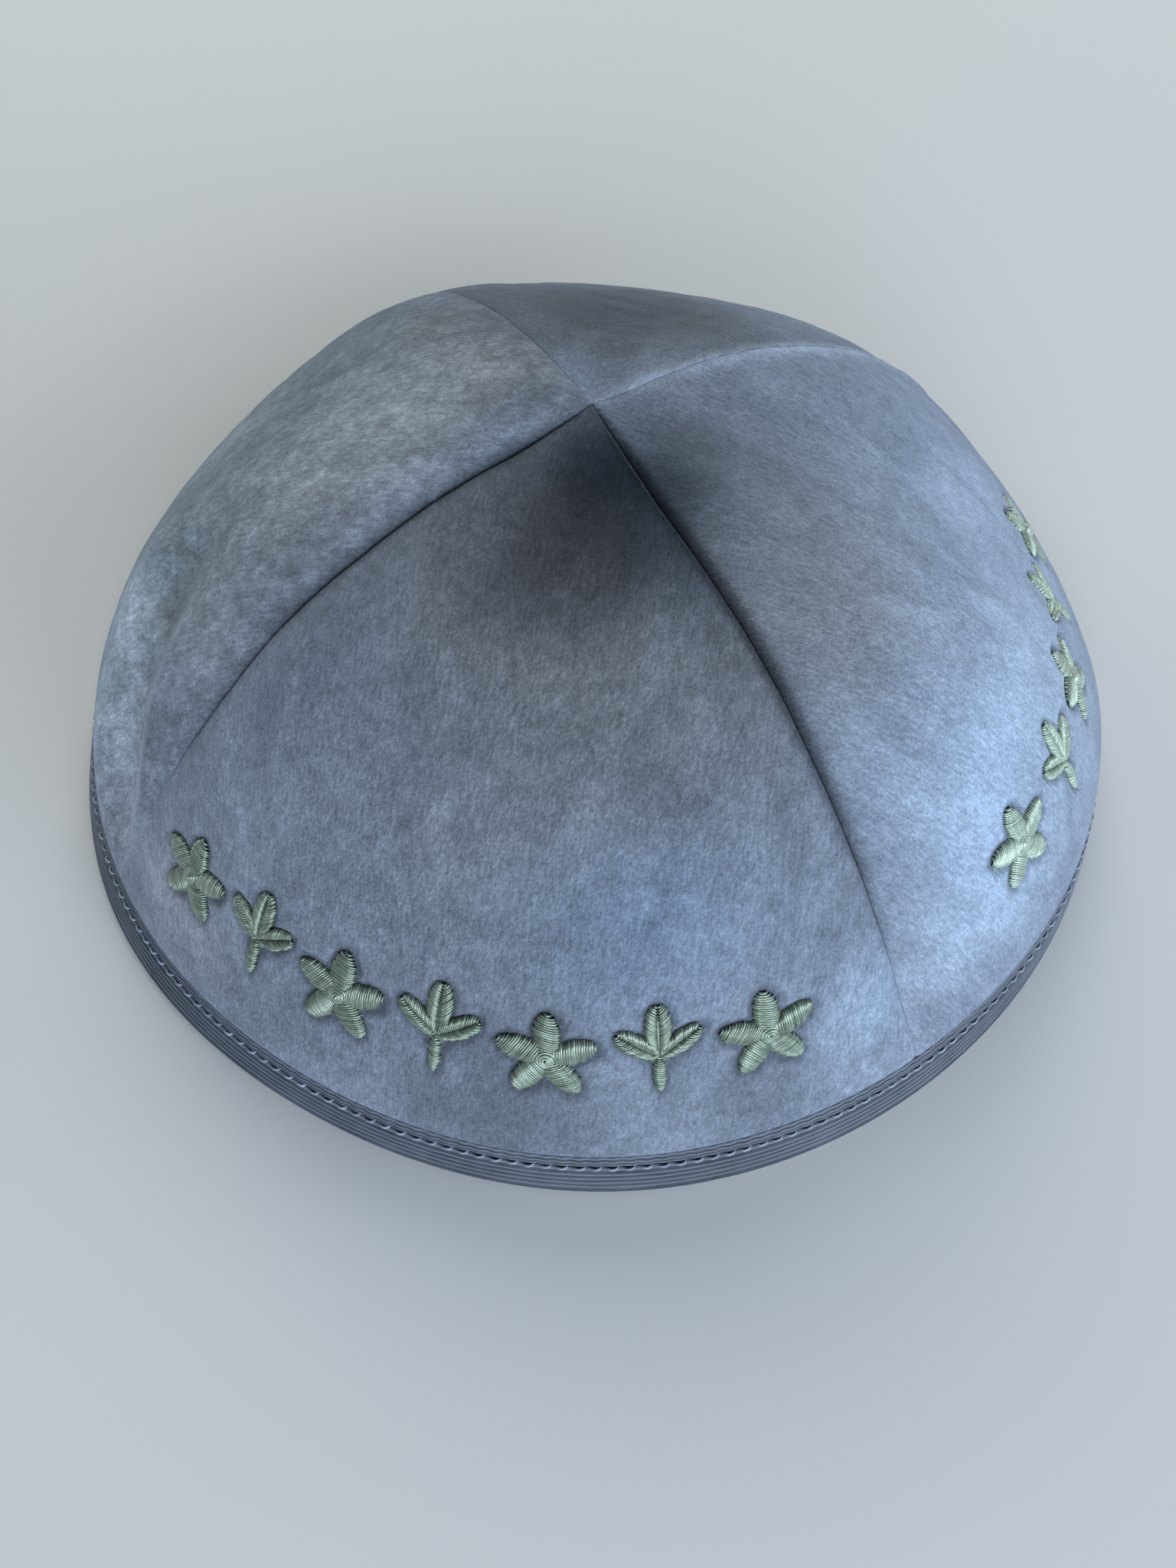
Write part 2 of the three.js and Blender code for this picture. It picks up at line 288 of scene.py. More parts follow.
# Inside the cap, the seam allowances lie open on both sides of each seam. They fade out from the apex and
# from the ribbon (mm).
ALLOWANCE = dict(width=5, rise=0.45, edge=0.5)
ALLOWANCE_TIP = (6, 10)
ALLOWANCE_FOOT = (9, 12)
# The gores end this close to the apex
TIP = 0.06

# How finely the velvet is meshed: columns along each sewn edge, columns between, rows
FINE = dict(edge=10, middle=190, rows=196, edge_width=2.0)
# The inner face takes every other row and column of the outer one
EVERY_OTHER = (slice(None, None, 2), slice(None, None, 2))
TINY = 1e-9


def smooth(x, low, high):
    t = np.clip((np.asarray(x, float) - low) / (high - low), 0, 1)
    return t * t * (3 - 2 * t)


def grown(start, x, low, high):
    """A share that grows from `start` at low to the whole at high."""
    return start + (1 - start) * smooth(x, low, high)


def bell(distance, width):
    return np.exp(-((distance / width) ** 2))


def turn(start, end):
    """The signed turn from one azimuth to another, between -180 and 180."""
    return (end - start + 180) % 360 - 180


# The smooth dome
def section(name, azimuth):
    """A column of the section table, blended smoothly around the cap."""
    column = np.array([row[SECTION_COLUMNS.index(name)] for row in SECTIONS], float)
    place = np.mod(azimuth, 360) / SECTION_STEP
    row = np.floor(place).astype(int)
    f = place - row
    weights = ((1 - f) ** 3, 3 * f**3 - 6 * f**2 + 4, -3 * f**3 + 3 * f**2 + 3 * f + 1, f**3)
    return sum(w * column[(row + k - 1) % len(column)] for k, w in enumerate(weights)) / 6


def meridian(azimuth):
    """At an azimuth: the way out from the apex, and a cubic curve's distances and heights."""
    angle = np.radians(azimuth)
    radius = section("foot_radius", azimuth)
    out_x, out_y = radius * np.cos(angle), radius * np.sin(angle) - APEX_Y
    reach = np.hypot(out_x, out_y)
    slope, wall = np.radians(section("apex_slope", azimuth)), np.radians(section("wall_angle", azimuth))
    near, far = section("apex_reach", azimuth), section("wall_reach", azimuth)
    distances = (0 * reach, near * np.cos(slope), reach - far * np.cos(wall), reach)
    heights = (APEX_Z + 0 * reach, APEX_Z - near * np.sin(slope), far * np.sin(wall), 0 * reach)
    return out_x / reach, out_y / reach, distances, heights


def cubic(p, t):
    return (1 - t) ** 3 * p[0] + 3 * t * (1 - t) ** 2 * p[1] + 3 * t * t * (1 - t) * p[2] + t**3 * p[3]


def even_steps():
    """For each degree of azimuth: a section's length, and the curve's parameter at even steps of it."""
    azimuths = np.arange(361.0)
    t = np.linspace(0, 1, 401)
    _, _, distances, heights = meridian(azimuths)
    across = cubic([d[:, None] for d in distances], t)
    up = cubic([h[:, None] for h in heights], t)
    run = np.cumsum(np.hypot(np.diff(across, axis=1), np.diff(up, axis=1)), axis=1)
    run = np.pad(run, ((0, 0), (1, 0)))
    parameters = [np.interp(t * row[-1], row, t) for row in run]
    return run[:, -1], np.array(parameters)


LENGTHS, PARAMETERS = even_steps()


def length_at(azimuth):
    return np.interp(np.mod(azimuth, 360), np.arange(361), LENGTHS)


def dome(azimuth, height):
    """A point of the smooth dome, with no folds."""
    azimuth, height = np.broadcast_arrays(np.asarray(azimuth, float), np.asarray(height, float))
    steps = PARAMETERS.shape[1] - 1
    along = np.clip(1 - height / length_at(azimuth), 0, 1) * steps
    around = np.mod(azimuth, 360)
    i, k = np.minimum(around.astype(int), 359), np.minimum(along.astype(int), steps - 1)
    past_i, past_k = around - i, along - k
    t = (PARAMETERS[i, k] * (1 - past_i) + PARAMETERS[i + 1, k] * past_i) * (1 - past_k)
    t += (PARAMETERS[i, k + 1] * (1 - past_i) + PARAMETERS[i + 1, k + 1] * past_i) * past_k
    way_x, way_y, distances, heights = meridian(azimuth)
    out = cubic(distances, t)
    return np.stack(
        [way_x * out - BOX_MIDDLE[0], APEX_Y + way_y * out - BOX_MIDDLE[1], cubic(heights, t)], -1
    )


def apex_distance(azimuth, height):
    point = dome(azimuth, height)
    return np.hypot(point[..., 0] + BOX_MIDDLE[0], point[..., 1] + BOX_MIDDLE[1] - APEX_Y)


def outward(azimuth, height):
    """The way out of the cloth: level near the foot and plumb near the apex."""
    probe = 0.5
    low = np.maximum(height - probe, 0)
    up = dome(azimuth, low + 2 * probe) - dome(azimuth, low)
    along = dome(azimuth + probe, height) - dome(azimuth - probe, height)
    normal = np.cross(along, up)
    normal /= np.maximum(np.linalg.norm(normal, axis=-1, keepdims=True), TINY)
    normal[..., 2] *= smooth(height, 0, LEVEL_BELOW)
    normal /= np.maximum(np.linalg.norm(normal, axis=-1, keepdims=True), TINY)
    tip = (1 - smooth(length_at(azimuth) - height, 0, PLUMB_WITHIN))[..., None]
    normal = normal * (1 - tip) + np.array([0, 0, 1.0]) * tip
    return normal / np.linalg.norm(normal, axis=-1, keepdims=True)


# Folds, valleys and small unevenness of the velvet
def fold_rise(azimuth, height, reach, fold):
    (azimuth_a, height_a), (azimuth_b, height_b) = fold["top"], fold["foot"]
    share = np.clip((height_a - height) / (height_a - height_b), 0, 1)
    middle = azimuth_a + share * turn(azimuth_a, azimuth_b)
    past = np.maximum(np.maximum(height - height_a, height_b - height), 0)
    aside = np.radians(turn(middle, azimuth)) * reach
    return fold["rise"] * bell(aside, fold["width"]) * bell(past, FOLD_FADE)


def seam_azimuth(seam, height):
    return seam["azimuth"] + seam["swing"] * (1 - smooth(height, 0, SWING_BELOW))


def seam_valley(azimuth, height, reach, seam):
    to_apex = length_at(azimuth) - height
    fade = smooth(height, 0, VALLEY_FADE[0]) * smooth(to_apex, 0, VALLEY_FADE[1])
    fade = fade * grown(VALLEY_AT_FOOT, height, *VALLEY_GROWS)
    aside = np.radians(turn(seam_azimuth(seam, height), azimuth)) * reach
    return -seam["depth"] * fade * bell(aside, seam["width"])


def waves(points, size, count, longest, shortest, seed):
    """Smooth unevenness of about this size: a sum of plane waves of seeded directions and lengths."""
    draw = np.random.default_rng(seed)
    total = np.zeros(points.shape[:-1])
    for _ in range(count):
        way = draw.normal(size=3)
        way *= 2 * np.pi / draw.uniform(shortest, longest) / np.linalg.norm(way)
        total += np.sin(points @ way + draw.uniform(0, 2 * np.pi))
    return size * total / math.sqrt(count)


def relief(azimuth, height):
    """How far the folds, the valleys along the seams and the unevenness lift the velvet."""
    reach = apex_distance(azimuth, height)
    rise = sum(fold_rise(azimuth, height, reach, fold) for fold in FOLDS)
    rise = rise + sum(seam_valley(azimuth, height, reach, seam) for seam in SEAMS)
    points = dome(azimuth, height)
    return rise + sum(waves(points, **row) for row in UNEVENNESS)


def motif_places():
    """Every motif: its name, its lobes, its azimuth, its height up the cloth and the painted light on its
    threads.
    """
    for name, count, first, step, height, thread_painted_light in MOTIF_ROWS:
        for i in range(count):
            lobes = ROSETTE if i % 2 == 0 else SPRIG
            yield f"{name}_{i + 1}", lobes, first + i * step, height, thread_painted_light


def motif_reach(lobes, direction):
    """How far a motif reaches in a direction (degrees): the longest of its lobes."""
    reach = np.full(np.shape(direction), HEART)
    for lobe in lobes:
        off = np.radians(direction - lobe["angle"])
        half_length, half_width = lobe["length"] / 2, lobe["width"] / 2
        bend = (np.cos(off) / half_length) ** 2 + (np.sin(off) / half_width) ** 2
        reach = np.maximum(reach, 2 * np.cos(off) / half_length / bend)
    return reach


def motif_dents(azimuth, height, reach):
    """The stitches pull the velvet down under and around each motif."""
    dents = np.zeros(np.shape(azimuth))
    for _, lobes, middle, level, _ in motif_places():
        aside, up = np.radians(turn(middle, azimuth)) * reach, height - level
        distance = np.hypot(aside, up)
        outside = distance - motif_reach(lobes, np.degrees(np.arctan2(up, aside)))
        near = distance < DENT["within"]
        pulled = np.where(outside > 0, bell(outside, DENT["width"]), 1.0)
        dents = np.minimum(dents, np.where(near, -DENT["depth"] * pulled, 0.0))
    return dents


def clear_of_ribbon(height):
    return smooth(height, *INSET_FADE)


def cloth_point(azimuth, height, lift):
    """A point above or under the face of a gore, which sinks behind the ribbon at the foot."""
    puff = PUFF["rise"] * bell(height - PUFF["height"], PUFF["width"])
    out = relief(azimuth, height) * smooth(height, *FOLDS_START) + puff + lift
    out = out - CLOTH_INSET * (1 - clear_of_ribbon(height))
    return dome(azimuth, height) + outward(azimuth, height) * out[..., None]


# Meshes
def new_object(name, points, faces, materials, uv=None, inside=None, rim=None, **values):
    """A mesh object from points in mm. inside is the first face of the second material, and rim the
    first face of a flat-shaded border that runs up to it. Each of values holds a number for each point."""
    mesh = bpy.data.meshes.new(name)
    mesh.from_pydata((np.asarray(points) * METRES).tolist(), [], faces)
    for material in materials:
        mesh.materials.append(material)
    rounded = np.ones(len(mesh.polygons), bool)
    if inside is not None:
        index = np.arange(len(rounded)) >= inside
        mesh.polygons.foreach_set("material_index", index.astype(np.int32))
        rounded[rim:inside] = False
    mesh.polygons.foreach_set("use_smooth", rounded)
    if uv is not None:
        corners = np.empty(len(mesh.loops), np.int32)
        mesh.loops.foreach_get("vertex_index", corners)
        layer = mesh.uv_layers.new(name="cloth")
        layer.data.foreach_set("uv", np.asarray(uv, np.float32)[corners].ravel())
    for key, numbers in values.items():
        attribute = mesh.attributes.new(key, "FLOAT", "POINT")
        attribute.data.foreach_set("value", np.asarray(numbers, np.float32))
    mesh.update()
    made = bpy.data.objects.new(name, mesh)
    bpy.context.scene.collection.objects.link(made)
    return made


def grid_faces(rows, columns, start=0, around=False):
    """The quads of a grid of points, row by row. around joins the last column to the first."""
    r, c = np.meshgrid(np.arange(rows - 1), np.arange(columns if around else columns - 1), indexing="ij")
    right = (c + 1) % columns
    corners = [r * columns + c, r * columns + right, (r + 1) * columns + right, (r + 1) * columns + c]
    return (np.stack(corners, -1).reshape(-1, 4) + start).tolist()


def edge_loop(rows, columns, start=0):
    """The outer points of a grid, in order."""
    index = np.arange(rows * columns).reshape(rows, columns) + start
    return [*index[0, :-1], *index[:-1, -1], *index[-1, :0:-1], *index[:0:-1, 0]]


# The four gores
def gore_grid(start_seam, end_seam, heights, fractions):
    """The azimuths of a gore's grid, and each point's distance (mm) from its two sewn edges."""
    start = seam_azimuth(start_seam, heights)
    span = np.mod(seam_azimuth(end_seam, heights) - start, 360)
    reach_start, reach_end = apex_distance(start, heights), apex_distance(start + span, heights)
    width = np.radians(span) * np.minimum(reach_start, reach_end)
    edge_width = np.minimum(FINE["edge_width"], width / 4)
    edge, middle = fractions
    left = edge_width[:, None] * edge / (np.radians(span) * reach_start)[:, None]
    right = 1 - edge_width[:, None] * edge[::-1] / (np.radians(span) * reach_end)[:, None]
    inner = left[:, -1:] + (right[:, :1] - left[:, -1:]) * middle
    across = np.hstack([left, inner, right])
    azimuth = start[:, None] + across * span[:, None]
    to_start = across * (np.radians(span) * reach_start)[:, None]
    to_end = (1 - across) * (np.radians(span) * reach_end)[:, None]
    return azimuth, to_start, to_end


def rolled_edge(distance, seam, height, to_apex):
    """A sewn edge rolls in, as a quarter round from the face down to the seam, or stands up beside it."""
    away = np.clip(distance / seam["roll"], 0, 1)
    roll = -seam["sink"] * (1 - np.sqrt(1 - (1 - away) ** 2))
    share = grown(seam["left_at_foot"], height, *ROLL_FADE)
    ridge = seam["ridge"] * bell(distance, RIDGE_WIDTH) * smooth(to_apex, *RIDGE_TIP)
    return roll * share * grown(ROLL_AT_APEX, to_apex, *ROLL_TIP) + ridge


def painted_light_patches(gore, points):
    """How much lighter (stops) and bluer the painted light and shade make points of a gore."""
    lighter, bluer = np.full(points.shape[:-1], NAP_BASE), np.full(points.shape[:-1], BLUE_BASE)
    for azimuth, height, width, patch_painted_light, patch_painted_blue in PAINTED_LIGHT_PATCHES[gore]:
        share = bell(np.linalg.norm(points - dome(azimuth, height), axis=-1), width)
        lighter += patch_painted_light * share
        bluer += patch_painted_blue * share
    return lighter, np.clip(bluer, 0, 1)


def seam_painted_light(distance, index, height, to_apex):
    """The painted shade and highlight beside a seam, as how much lighter it makes the velvet, in stops."""
    row = SEAM_PAINTED_LIGHT[index]
    level = row["foot"] + (row["apex"] - row["foot"]) * smooth(height, *SEAM_PAINTED_LIGHT_FADE)
    near, far = bell(distance, row["width"]), bell(distance, 3 * row["width"])
    profile = (1 - SEAM_PAINTED_LIGHT_FAR) * near + SEAM_PAINTED_LIGHT_FAR * far
    return level * profile * grown(SEAM_PAINTED_LIGHT_AT_APEX, to_apex, *SEAM_PAINTED_LIGHT_TIP)


def allowance_rise(to_start, to_end, height, to_apex):
    """How far the seam allowances stand up inside the cap."""
    width, edge = ALLOWANCE["width"], ALLOWANCE["edge"]
    rise = sum(smooth(distance, width + edge, width - edge) for distance in (to_start, to_end))
    fade = smooth(to_apex, *ALLOWANCE_TIP) * smooth(height, *ALLOWANCE_FOOT)
    return ALLOWANCE["rise"] * rise * fade


def wall_faces(outer_shape, inner_shape):
    """The faces of a gore's outer grid, of the rim and of its inner grid, which is half as fine, and
    the first face of the rim and of the inner grid."""
    faces = grid_faces(*outer_shape)
    rim = len(faces)
    inner_start = outer_shape[0] * outer_shape[1]
    outer_loop, inner_loop = edge_loop(*outer_shape), edge_loop(*inner_shape, inner_start)
    for k in range(len(inner_loop)):
        a, b, c = (outer_loop[(2 * k + i) % len(outer_loop)] for i in range(3))
        p, q = inner_loop[k], inner_loop[(k + 1) % len(inner_loop)]
        faces += [[b, a, p], [b, p, q], [c, b, q]]
    inside = len(faces)
    faces += [face[::-1] for face in grid_faces(*inner_shape, inner_start)]
    return faces, rim, inside


def gore_piece(name, node, seam_index, clumps, greener, materials):
    next_index = (seam_index + 1) % len(SEAMS)
    start_seam, end_seam = SEAMS[seam_index], SEAMS[next_index]
    edge = np.linspace(0, 1, FINE["edge"] + 1)
    middle = np.linspace(0, 1, FINE["middle"] + 1)[1:-1]
    span = np.mod(end_seam["azimuth"] - start_seam["azimuth"], 360)
    columns = edge.size * 2 + middle.size
    share = np.linspace(0, 1, FINE["rows"] + 1)
    tops = length_at(start_seam["azimuth"] + np.linspace(0, span, columns)) - TIP
    # The columns are set out on rows of one height, then each runs up to its own place at the tip.
    level = LOWER_EDGE + share * (tops.min() - LOWER_EDGE)
    azimuth, to_start, to_end = gore_grid(start_seam, end_seam, level, (edge, middle))
    height = LOWER_EDGE + share[:, None] * (length_at(azimuth) - TIP - LOWER_EDGE)
    reach = apex_distance(azimuth, height)
    to_apex = length_at(azimuth) - height
    lift = rolled_edge(to_start, start_seam, height, to_apex)
    lift += rolled_edge(to_end, end_seam, height, to_apex)
    dents = motif_dents(azimuth, height, reach)
    outer = cloth_point(azimuth, height, lift * clear_of_ribbon(height) + dents)
    # Painted light and shade from the gore's patches, with its bluer painted light
    lighter, bluer = painted_light_patches(name, dome(azimuth, height))
    # Painted shade in the seams, and a painted highlight on the right back seam's ridge
    lighter += seam_painted_light(to_start, seam_index, height, to_apex)
    lighter += seam_painted_light(to_end, next_index, height, to_apex)
    # Painted shade in the dents that the stitches pull around the motifs
    lighter += DENT["painted_shade"] * dents / DENT["depth"]
    greener = greener * smooth(np.minimum(to_start, to_end), *GREENER_FADE)
    # The cloth's own coordinates: mm from the middle of the gore, and mm up it
    middle_azimuth = start_seam["azimuth"] + span / 2
    cloth = np.stack([np.radians(turn(middle_azimuth, azimuth)) * reach, height], -1)

    allowance = allowance_rise(to_start, to_end, height, to_apex)[EVERY_OTHER]
    azimuth, height = azimuth[EVERY_OTHER], height[EVERY_OTHER]
    inset = INNER_INSET * (1 - clear_of_ribbon(height))
    inner = cloth_point(azimuth, height, -CLOTH_THICKNESS - allowance - inset)

    faces, rim, inside = wall_faces(outer.shape[:2], inner.shape[:2])
    points = np.vstack([outer.reshape(-1, 3), inner.reshape(-1, 3)])
    uv = np.vstack([cloth.reshape(-1, 2), cloth[EVERY_OTHER].reshape(-1, 2)])
    clumps = np.full(lighter.shape, clumps)
    # The numbers for the velvet's colour: painted light and shade, bluer painted light, the greener tint and
    # the clumping
    velvet_tones = {"lighter": lighter, "bluer": bluer, "greener": greener, "clumps": clumps}
    for key, value in velvet_tones.items():
        velvet_tones[key] = np.concatenate([value.ravel(), value[EVERY_OTHER].ravel()])
    piece = new_object(name, points, faces, materials, uv=uv, inside=inside, rim=rim, **velvet_tones)
    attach(piece, "root")
    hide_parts(node)
    return piece


# Materials
class Nodes:
    """A short way to build a material's nodes."""

    def __init__(self, name):
        self.material = bpy.data.materials.new(name)
        self.material.use_nodes = True
        self.tree = self.material.node_tree
        self.tree.nodes.clear()
        self.shader = self.add("ShaderNodeBsdfPrincipled")
        output = self.add("ShaderNodeOutputMaterial")
        self.link(self.shader.outputs[0], output.inputs["Surface"])

    def add(self, kind, **settings):
        node = self.tree.nodes.new(kind)
        for key, value in settings.items():
            if hasattr(node, key):
                setattr(node, key, value)
            else:
                node.inputs[key.replace("_", " ")].default_value = value
        return node

    def link(self, source, target):
        self.tree.links.new(source, target)

    def coordinates(self, scale):
        """Object coordinates, with `scale` of a noise's cells for each millimetre."""
        place = self.add("ShaderNodeTexCoord")
        stretch = self.add("ShaderNodeMapping")
        stretch.inputs["Scale"].default_value = (scale / METRES,) * 3
        self.link(place.outputs["Object"], stretch.inputs["Vector"])
        return stretch.outputs[0]

    def cloth(self, scale):
        """Coordinates along the cloth, in mm, scaled."""
        place = self.add("ShaderNodeUVMap", uv_map="cloth")
        stretch = self.add("ShaderNodeMapping")
        stretch.inputs["Scale"].default_value = (*scale, 1)
        self.link(place.outputs[0], stretch.inputs["Vector"])
        return stretch.outputs[0]

    def noise(self, vector, detail=3, roughness=0.5, distortion=0.0):
        node = self.add(
            "ShaderNodeTexNoise", Scale=1.0, Detail=detail, Roughness=roughness, Distortion=distortion
        )
        self.link(vector, node.inputs["Vector"])
        return node.outputs["Fac"]

    def spread(self, noise, low, high):
        """A noise, which lies mostly between 0.3 and 0.7, spread from low to high."""
        node = self.add("ShaderNodeMapRange", From_Min=0.3, From_Max=0.7, To_Min=low, To_Max=high)
        self.link(noise, node.inputs["Value"])
        return node.outputs["Result"]

    def bands(self, vector, direction, scale):
        node = self.add("ShaderNodeTexWave", wave_type="BANDS", bands_direction=direction, Scale=scale)
        self.link(vector, node.inputs["Vector"])
        return node.outputs["Fac"]

    def math(self, operation, a, b):
        node = self.add("ShaderNodeMath", operation=operation)
        for socket, value in zip(node.inputs, (a, b)):
            if isinstance(value, (int, float)):
                socket.default_value = value
            else:
                self.link(value, socket)
        return node.outputs[0]

    def total(self, first, *others):
        for other in others:
            first = self.math("ADD", first, other)
        return first

    def mix(self, factor, a, b):
        """A colour between a and b. The node's colour sockets share their names with others."""
        node = self.add("ShaderNodeMix", data_type="RGBA", blend_type="MIX")
        for socket, value in ((node.inputs["Factor"], factor), (node.inputs[6], a), (node.inputs[7], b)):
            if isinstance(value, tuple):
                socket.default_value = value
            else:
                self.link(value, socket)
        return node.outputs[2]

    def value(self, name):
        """One of the mesh's own numbers for each point."""
        return self.add("ShaderNodeAttribute", attribute_name=name).outputs["Fac"]

    def scaled(self, colour, factor):
        node = self.add("ShaderNodeVectorMath", operation="SCALE")
        self.link(colour, node.inputs[0])
        self.link(factor, node.inputs["Scale"])
        return node.outputs[0]

    def bump(self, height, strength, distance, normal=None):
        node = self.add("ShaderNodeBump", Strength=strength, Distance=distance * METRES)
        self.link(height, node.inputs["Height"])
        if normal is not None:
            self.link(normal, node.inputs["Normal"])
        return node.outputs[0]


def srgb(red, green, blue):
    """A colour given as screen values from 0 to 255 (all over 10 here), as linear light."""
    return tuple(((value / 255 + 0.055) / 1.055) ** 2.4 for value in (red, green, blue)) + (1,)


def velvet_material():
    n = Nodes("velvet")
    patches = n.noise(n.coordinates(0.035), detail=4, roughness=0.6, distortion=0.8)
    velvet_tones = n.noise(n.cloth((0.12, 0.06)), detail=3, roughness=0.6, distortion=1.2)
    clumps = n.noise(n.coordinates(0.4), detail=5, roughness=0.75, distortion=0.2)
    # The pile and the specks are the fibres' own streaks and specks with painted glints in them
    pile_and_glints = n.noise(n.cloth((2.0, 0.65)), detail=3, roughness=0.65, distortion=0.3)
    specks_and_glints = n.noise(n.coordinates(2.6), detail=2, roughness=0.6)
    # How much lighter the velvet is, in stops: the painted light and shade, and the nap's random tones with
    # painted glints
    tone = n.total(
        n.value("lighter"),
        n.spread(patches, -0.2, 0.2),
        n.spread(velvet_tones, -0.24, 0.24),
        n.math("MULTIPLY", n.spread(clumps, -0.5, 0.5), n.value("clumps")),
        n.spread(pile_and_glints, -0.34, 0.34),
        n.spread(specks_and_glints, -0.3, 0.3),
    )
    # The colour turns from neutral to blue with the painted blue light
    colour = n.mix(n.value("bluer"), srgb(104, 108, 117), srgb(88, 106, 128))
    colour = n.mix(n.value("greener"), colour, srgb(94, 109, 114))
    n.link(n.scaled(colour, n.math("POWER", 2.0, tone)), n.shader.inputs["Base Color"])
    n.shader.inputs["Roughness"].default_value = 0.9
    n.shader.inputs["Specular IOR Level"].default_value = 0.12
    n.shader.inputs["Sheen Weight"].default_value = 0.3
    n.shader.inputs["Sheen Roughness"].default_value = 0.35
    n.shader.inputs["Sheen Tint"].default_value = srgb(205, 222, 250)
    weights = ((pile_and_glints, 0.7), (specks_and_glints, 0.5), (clumps, 0.6))
    height = n.total(*(n.math("MULTIPLY", noise, weight) for noise, weight in weights))
    n.link(n.bump(height, 0.45, 0.6), n.shader.inputs["Normal"])
    return n.material


def backing_material():
    n = Nodes("backing")
    warp, weft = (n.bands(n.cloth((1, 1)), direction, 0.55) for direction in "XY")
    threads = n.math("MULTIPLY", warp, weft)
    cloudy = n.noise(n.coordinates(0.1), detail=4)
    tone = n.total(n.math("MULTIPLY", threads, 0.5), n.spread(cloudy, 0.0, 0.5))
    n.link(n.mix(tone, srgb(92, 100, 118), srgb(128, 138, 158)), n.shader.inputs["Base Color"])
    n.shader.inputs["Roughness"].default_value = 0.85
    n.shader.inputs["Specular IOR Level"].default_value = 0.2
    n.link(n.bump(threads, 0.4, 0.15), n.shader.inputs["Normal"])
    return n.material


def ribbon_material():
    n = Nodes("ribbon")
    # At scale 1 the wave node's bands lie 2 pi / 20 apart
    ribs = n.bands(n.cloth((1, 2 * math.pi / 20 / RIBBON["rib"])), "Y", 1.0)
    yarn = n.noise(n.cloth((0.25, 3.4)), detail=3, roughness=0.6)
    cloudy = n.noise(n.coordinates(0.08), detail=3)
    # The ribs' bands darken the colour: painted shade in the rib valleys and a painted highlight on their
    # crests
    tone = n.total(n.math("MULTIPLY", ribs, 0.7), n.spread(yarn, -0.05, 0.3), n.spread(cloudy, -0.1, 0.15))
    n.link(n.mix(tone, srgb(33, 38, 47), srgb(106, 116, 132)), n.shader.inputs["Base Color"])
    n.shader.inputs["Roughness"].default_value = 0.5
    n.shader.inputs["Specular IOR Level"].default_value = 0.3
    n.shader.inputs["Sheen Weight"].default_value = 0.1
    n.shader.inputs["Sheen Roughness"].default_value = 0.4
    n.shader.inputs["Sheen Tint"].default_value = srgb(200, 218, 250)
    normal = n.bump(ribs, 0.8, 0.2)
    n.link(n.bump(yarn, 0.3, 0.08, normal), n.shader.inputs["Normal"])
    return n.material


def thread_material(name, dark, light, roughness, shine, metallic):
    n = Nodes(name)
    fleck = n.noise(n.coordinates(1.6), detail=3)
    tone = n.total(n.math("MULTIPLY", n.value("shade"), 0.7), n.spread(fleck, 0.0, 0.3))
    n.link(n.mix(tone, dark, light), n.shader.inputs["Base Color"])
    n.shader.inputs["Roughness"].default_value = roughness
    n.shader.inputs["Specular IOR Level"].default_value = shine
    n.shader.inputs["Metallic"].default_value = metallic
    n.shader.inputs["Sheen Weight"].default_value = 0.15
    n.shader.inputs["Sheen Roughness"].default_value = 0.4
    n.link(n.bump(fleck, 0.2, 0.04), n.shader.inputs["Normal"])
    return n.material


# The ribbon
def leg_top(start, thickness, count, face):
    """The rounded top of one of the ribbon's legs, from its outside to its inside."""
    height = RIBBON["height"]
    for angle in np.radians(np.linspace(18, 162, count)):
        depth = start + thickness * (1 - math.cos(angle)) / 2
        yield depth, height - SHOULDER * (1 - math.sin(angle)), height, face


def ribbon_outline():
    """The ribbon's closed outline as (depth, height, distance along the ribbon, face share).

    The face share is 1 on the outer leg, -1 on the inner leg and 0 where the ribbon is hidden.
    """
    height, front, slot, fold = (RIBBON[key] for key in ("height", "front", "slot", "fold"))
    leg = front + slot
    back = leg + RIBBON["back"]
    points = [(0.0, up, up, 1.0) for up in np.linspace(fold, height - SHOULDER, 40)]
    points += leg_top(0.0, front, 7, 0.6)
    points += [(front, up, height, 0.0) for up in SLOT_LEVELS]
    points += [(leg, up, height, 0.0) for up in reversed(SLOT_LEVELS)]
    points += leg_top(leg, RIBBON["back"], 5, -0.6)
    points += [(back, up, up, -1.0) for up in np.linspace(height - SHOULDER, fold, 18)]
    for angle in np.linspace(12, 168, 15):
        around = math.radians(angle)
        depth = back / 2 * (1 + math.cos(around))
        points.append((depth, fold * (1 - math.sin(around)), fold * (1 - angle / 90), 0.0))
    return np.array(points)


def ribbon_point(azimuth, height, depth):
    return dome(azimuth, height) - outward(azimuth, height) * depth[..., None]


def ribbon_relief(azimuth, up, along, face):
    """How far the ribbon's face is sunk: its ribs, the groove and holes of the stitches, its pucker."""
    shown = np.abs(face)
    ribs = RIBBON["rib_depth"] * (0.5 + 0.5 * np.cos(2 * np.pi * along / RIBBON["rib"])) * (shown > 0.9)
    between_stitches = np.cos(2 * np.pi * azimuth * STITCH["count"] / 360)
    above = up - STITCH["height"]
    groove = GROOVE["depth"] * bell(above, GROOVE["width"])
    hole = HOLE["depth"] * bell(above, HOLE["width"]) * (0.5 + 0.5 * between_stitches) ** 3
    pucker = PUCKER["depth"] * between_stitches * bell(up - RIBBON["height"], PUCKER["width"])
    return np.sign(face) * (ribs + (groove + hole + pucker) * shown)


